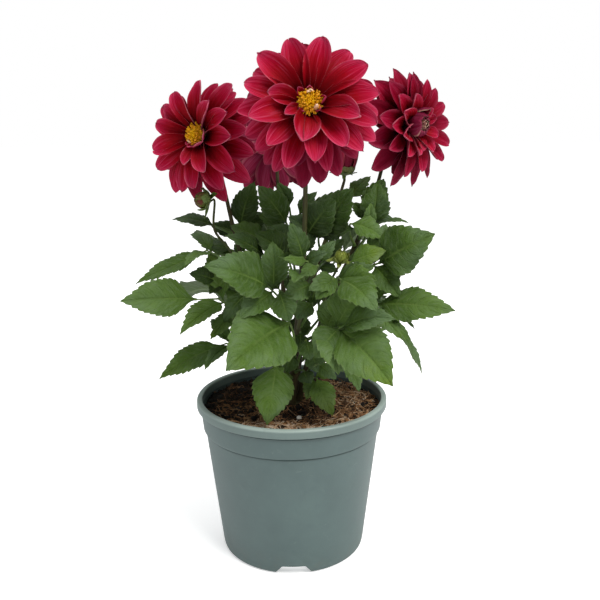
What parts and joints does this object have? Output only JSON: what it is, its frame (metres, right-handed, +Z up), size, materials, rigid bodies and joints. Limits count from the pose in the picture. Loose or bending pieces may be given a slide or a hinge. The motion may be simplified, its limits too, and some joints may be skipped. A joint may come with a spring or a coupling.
{
  "type": "potted dahlia",
  "caption": "Flowering bedding dahlia with crimson double blooms and compound serrated leaves, growing in soil in a round tapered nursery pot with a rolled rim.",
  "frame": {"origin": "on the surface that the pot stands on, at the middle of the pot's foot", "axes": "+Z up along the pot's axis, -Y towards the front that the largest bloom faces, +X to the right of it"},
  "size_m": [0.2525, 0.176, 0.3896],
  "materials": {
    "pot": "grey-green moulded plastic, lightly scuffed",
    "soil": "dark brown coir and peat potting mix",
    "crown": "fibrous brown root crown",
    "stem": "smooth green-brown stems",
    "leaf": "mid-green leaves with paler veins, satin",
    "petal": "deep crimson petals, velvety, paler at the margins",
    "disc": "golden yellow florets",
    "bud": "green to reddish-brown sepals and bracts"
  },
  "bodies": {
    "root": {"bud_front": "bud", "bud_left": "bud", "calyx_centre": "bud", "calyx_left": "bud", "calyx_opening_bud": "bud", "calyx_rear": "bud", "calyx_right": "bud", "core_right": "petal", "disc_centre": "disc", "disc_left": "disc", "disc_rear": "disc", "inner_petals_centre": "petal", "inner_petals_left": "petal", "inner_petals_rear": "petal", "inner_petals_right": "petal", "leaf_01": "leaf", "leaf_02": "leaf", "leaf_03": "leaf", "leaf_04": "leaf", "leaf_05": "leaf", "leaf_06": "leaf", "leaf_07": "leaf", "leaf_08": "leaf", "leaf_09": "leaf", "leaf_10": "leaf", "leaf_11": "leaf", "leaf_12": "leaf", "leaf_13": "leaf", "leaf_14": "leaf", "leaf_15": "leaf", "leaf_16": "leaf", "leaf_17": "leaf", "leaf_18": "leaf", "leaf_19": "leaf", "leaf_20": "leaf", "leaf_21": "leaf", "leaf_22": "leaf", "leaf_23": "leaf", "leaf_24": "leaf", "leaf_25": "leaf", "leaf_26": "leaf", "leaf_27": "leaf", "leaf_28": "leaf", "leaf_29": "leaf", "outer_petals_centre": "petal", "outer_petals_left": "petal", "outer_petals_rear": "petal", "outer_petals_right": "petal", "petals_opening_bud": "petal", "pot": "pot", "root_crown": "crown", "soil": "soil", "stem_centre": "stem", "stem_front_bud": "stem", "stem_front_shoot": "stem", "stem_left": "stem", "stem_left_bud": "stem", "stem_opening_bud": "stem", "stem_rear": "stem", "stem_right": "stem"}
  },
  "joints": []
}
